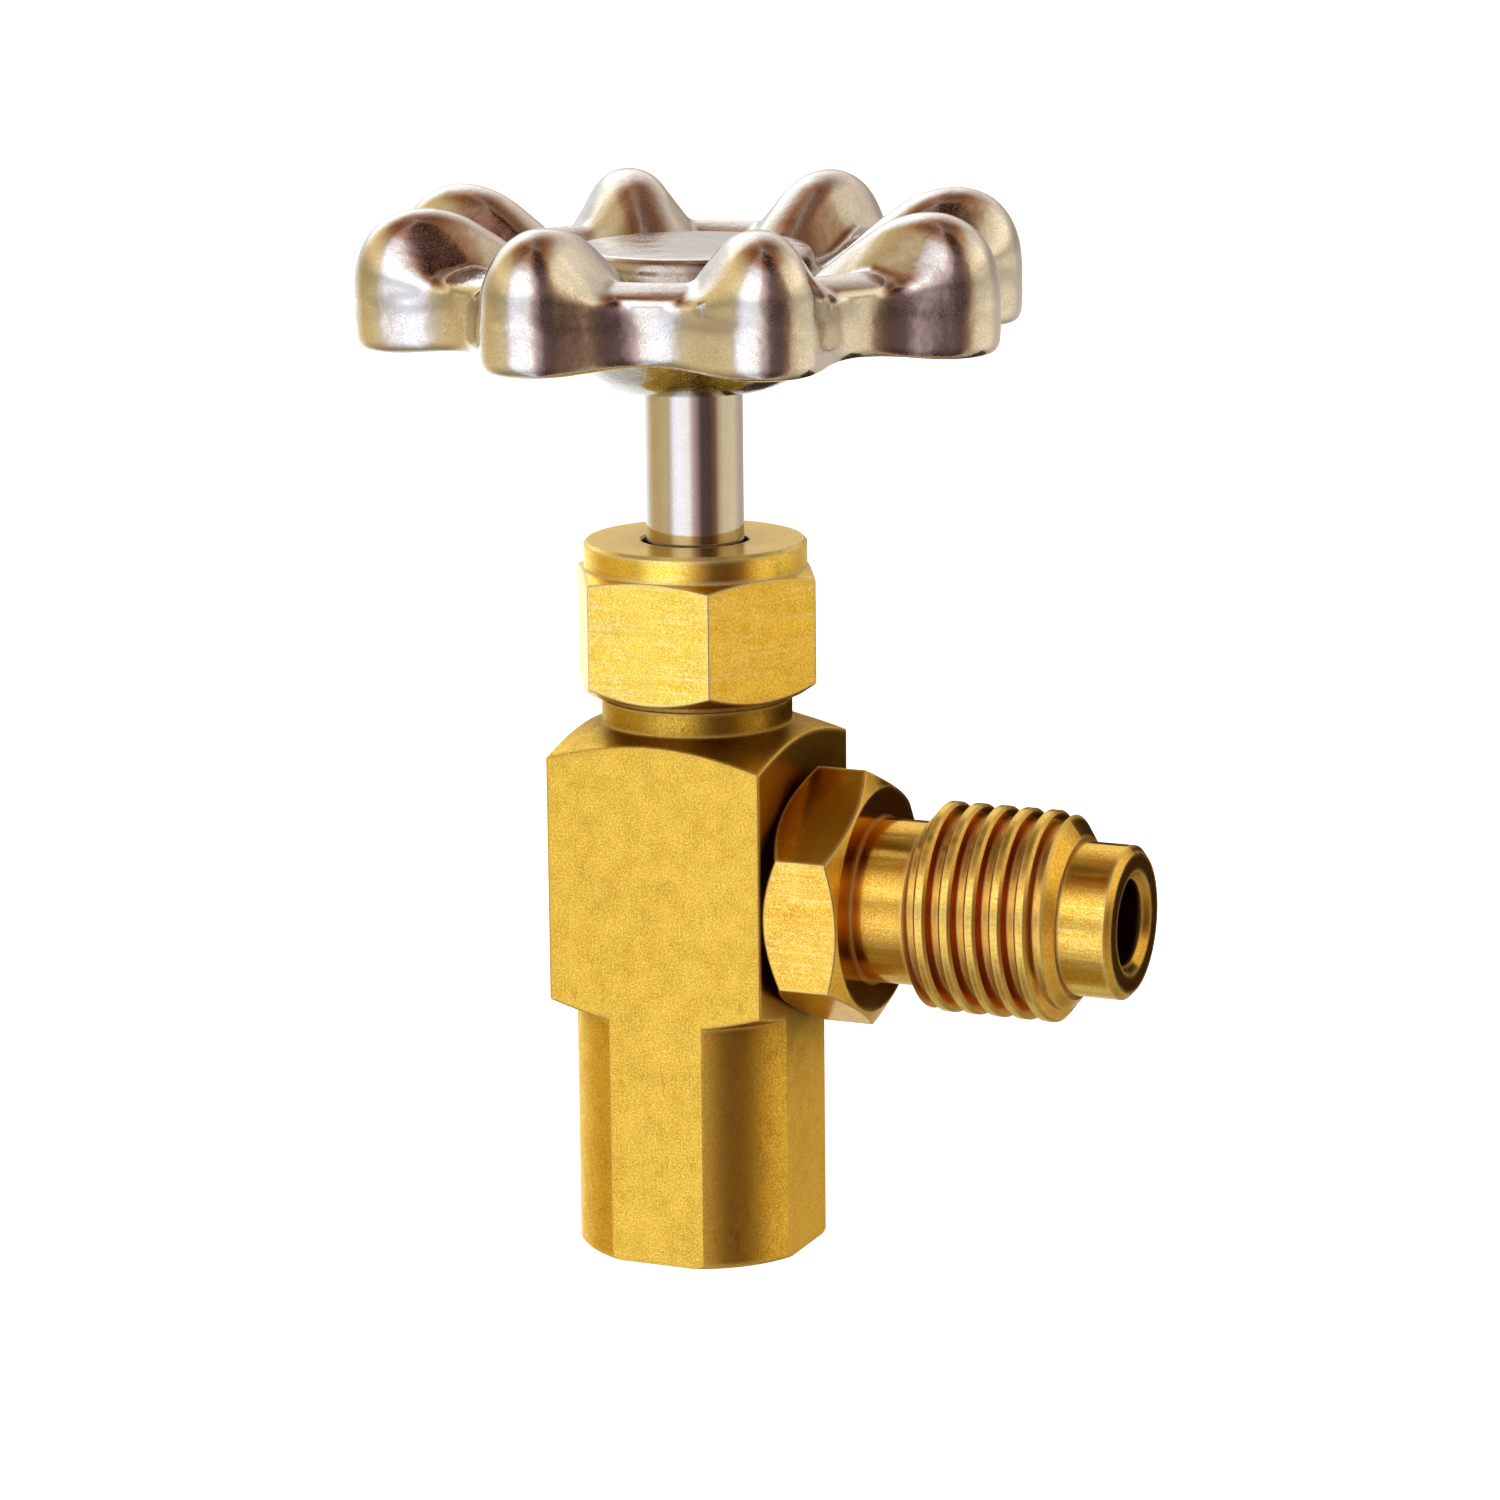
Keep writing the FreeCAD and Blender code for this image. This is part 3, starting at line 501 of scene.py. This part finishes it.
def paint_world():
    """The camera sees plain white; everything else sees the studio."""
    world = bpy.data.worlds.new("studio")
    bpy.context.scene.world = world
    world.use_nodes = True
    tree = world.node_tree
    tree.nodes.clear()
    direction = node(tree, "TexCoord").outputs["Generated"]
    around = node(tree, "TexGradient", {"Vector": direction}, gradient_type="RADIAL").outputs["Fac"]
    bands = ramp(tree, around, [((azimuth + 180) / 360, shade) for azimuth, shade in AROUND_THE_STUDIO],
                 AROUND_GAIN)
    height = node(tree, "SeparateXYZ", {0: direction}).outputs[2]
    rise = math_out(tree, "MULTIPLY_ADD", height, 0.5, 0.5)
    shares = ramp(tree, rise, [(0.5 + 0.5 * math.sin(math.radians(elevation)), share)
                               for elevation, share in UP_THE_STUDIO], UP_GAIN)
    seen = mix_colour(tree, 1.0, bands, shares, "MULTIPLY")
    reflected = node(tree, "Background", {"Color": seen, "Strength": AROUND_GAIN * UP_GAIN})
    backdrop = node(tree, "Background", {"Color": (1, 1, 1, 1), "Strength": 1.0})
    direct = node(tree, "LightPath").outputs["Is Camera Ray"]
    chosen = node(tree, "MixShader", {0: direct, 1: reflected.outputs[0], 2: backdrop.outputs[0]})
    output = node(tree, "OutputWorld")
    tree.links.new(chosen.outputs[0], output.inputs["Surface"])


def flat_piece(name, corners, material):
    """A four-cornered piece of the studio, which isn't part of the valve."""
    mesh = bpy.data.meshes.new(name)
    mesh.from_pydata(corners, [], [(0, 1, 2, 3)])
    mesh.materials.append(material)
    made = bpy.data.objects.new(name, mesh)
    bpy.context.scene.collection.objects.link(made)
    return made


def make_floor():
    """A pale floor that the metal doesn't mirror."""
    material, tree = new_material("pale_floor")
    surface(tree, {"Base Color": FLOOR_COLOUR, "Roughness": MATT,
                   "Emission Color": (1, 1, 1, 1), "Emission Strength": FLOOR_GLOW})
    side = FLOOR_HALF_SIDE
    floor = flat_piece("floor", [(-side, -side, 0), (side, -side, 0), (side, side, 0), (-side, side, 0)],
                       material)
    floor.visible_glossy = False


def make_shade_card():
    """A black card beyond the outlet, which only the side of the body and what is near it mirror: a painted
    dark reflection in place of the shade there.
    """
    material, tree = new_material("shade_card_black")
    surface(tree, {"Base Color": SHADE_CARD_COLOUR, "Roughness": MATT})
    vertical = Vector((0, 0, 1))
    middle = CARD_BASE + CARD_TOWARDS * CARD_DISTANCE
    across = CARD_TOWARDS.cross(vertical).normalized() * CARD_HALF_WIDTH
    upward = vertical * CARD_HALF_HEIGHT
    card = flat_piece("shade_card", [middle - across - upward, middle + across - upward,
                                    middle + across + upward, middle - across + upward], material)
    # Seen only in reflections: a painted dark reflection standing in for shade.
    card.visible_camera = False
    card.visible_diffuse = False
    card.visible_shadow = False


def make_camera():
    azimuth, elevation, roll = (math.radians(a) for a in (CAMERA_AZIMUTH, CAMERA_ELEVATION, CAMERA_ROLL))
    back = Vector((math.sin(azimuth) * math.cos(elevation), -math.cos(azimuth) * math.cos(elevation),
                   math.sin(elevation)))
    right = back.cross(Vector((0, 0, -1))).normalized()
    up = back.cross(right)
    centre = Vector((0, 0, AIM_HEIGHT))
    place = centre + back * CAMERA_DISTANCE
    turned_right = right * math.cos(roll) + up * math.sin(roll)
    turned_up = up * math.cos(roll) - right * math.sin(roll)
    aim = centre + turned_right * AIM_RIGHT + turned_up * AIM_UP
    forward = (aim - place).normalized()
    x_axis = (turned_right - forward * turned_right.dot(forward)).normalized()
    y_axis = x_axis.cross(forward)
    data = bpy.data.cameras.new("camera")
    data.lens = CAMERA_LENS
    data.sensor_width = CAMERA_SENSOR
    data.clip_start, data.clip_end = CAMERA_CLIP
    camera = bpy.data.objects.new("camera", data)
    bpy.context.scene.collection.objects.link(camera)
    matrix = camera.matrix_world.copy()
    for index, axis in enumerate((x_axis, y_axis, -forward, place)):
        matrix.col[index].xyz = axis
    camera.matrix_world = matrix
    bpy.context.scene.camera = camera


# ---------------------------------------------------------------------------------------- making

make_camera()
make_floor()
make_shade_card()
paint_world()
bpy.context.scene.view_settings.view_transform = "Standard"

finishes = {
    "body_brass": metal(
        "body_brass", (0.86, 0.56, 0.06), (0.50, 0.26, 0.008), (0.96, 0.76, 0.25), (0.26, 0.38),
        grain=0.60, patchy=0.22, lines=(1.0, 1.0, 0.35), line_depth=0.8, edges=0.9, haze=0.12,
        recess_shade=(0.08, 0.018, 0.0005)),
    "connector_brass": metal(
        "connector_brass", (0.81, 0.51, 0.055), (0.54, 0.22, 0.004), (0.98, 0.87, 0.38), (0.10, 0.20),
        grain=0.50, patchy=0.24, marks=0.9, along_x=True, lines=(0.04, 0.8, 0.8), line_depth=1.2,
        edges=0.7, haze=0.08, recess_shade=(0.50, 0.15, 0.002)),
    "nut_brass": metal(
        "nut_brass", (0.93, 0.66, 0.075), (0.60, 0.34, 0.012), (1.0, 0.93, 0.55), (0.14, 0.24),
        grain=0.45, patchy=0.2, lines=(0.02, 0.02, 0.5), line_depth=1.0, edges=0.9, haze=0.08,
        recess_shade=(0.34, 0.12, 0.003)),
    "stem_plating": metal(
        "stem_plating", (0.62, 0.60, 0.57), (0.45, 0.42, 0.38), (0.78, 0.77, 0.76), (0.04, 0.10),
        grain=0.25, patchy=0.2, marks=0.2),
    "wheel_chrome": metal(
        "wheel_chrome", (0.82, 0.80, 0.77), (0.48, 0.43, 0.36), (0.96, 0.96, 0.96), (0.05, 0.13),
        grain=0.34, patchy=0.20, cast=60.0, haze=0.20, recess_shade=(0.22, 0.17, 0.11)),
    "needle_steel": metal(
        "needle_steel", (0.58, 0.57, 0.55), (0.4, 0.39, 0.37), (0.75, 0.75, 0.74), (0.15, 0.25),
        grain=0.15, patchy=0.2, marks=0.3),
    "seal_rubber": polymer("seal_rubber", (0.025, 0.025, 0.028), 0.55),
    "packing_ptfe": polymer("packing_ptfe", (0.82, 0.80, 0.76), 0.4),
}

for cad_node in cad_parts.values():
    for slot_index, material in enumerate(cad_node.data.materials):
        cad_node.data.materials[slot_index] = finishes[material.name]

make_handwheel(finishes["wheel_chrome"])
